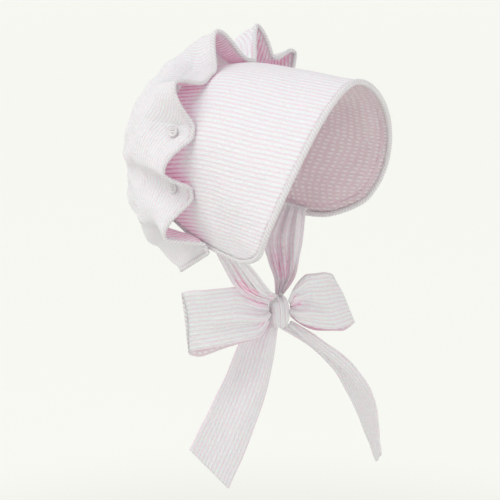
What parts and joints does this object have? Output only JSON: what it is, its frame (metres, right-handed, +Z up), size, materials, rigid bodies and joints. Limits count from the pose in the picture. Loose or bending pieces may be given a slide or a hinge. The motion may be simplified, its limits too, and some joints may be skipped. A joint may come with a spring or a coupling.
{
  "type": "baby sun bonnet",
  "caption": "Baby sun bonnet in striped seersucker: a deep piped brim, a puffed crown buttoned over it with a scalloped piped edge, a neck flap and wide chin ties in a bow.",
  "frame": {"origin": "inside of the brim's top on the centre plane, where the wearer's head bears", "axes": "+Z up as worn, the face opening looks along -Y, the wearer's right is -X"},
  "size_m": [0.1685, 0.1854, 0.3567],
  "materials": {
    "seersucker": "puckered cotton with narrow pink and white stripes",
    "piping": "bias-cut striped cotton piping",
    "button": "pale semi-matt plastic"
  },
  "bodies": {
    "root": {"brim": "seersucker", "crown": "seersucker", "tie_right": "seersucker", "tie_left": "seersucker", "bow_knot": "seersucker", "bow_loop_right": "seersucker", "bow_loop_left": "seersucker", "tail_right": "seersucker", "tail_left": "seersucker", "brim_piping": "piping", "crown_piping": "piping", "button_1": "button", "button_2": "button", "button_3": "button", "button_4": "button", "button_5": "button", "button_6": "button"}
  },
  "joints": []
}
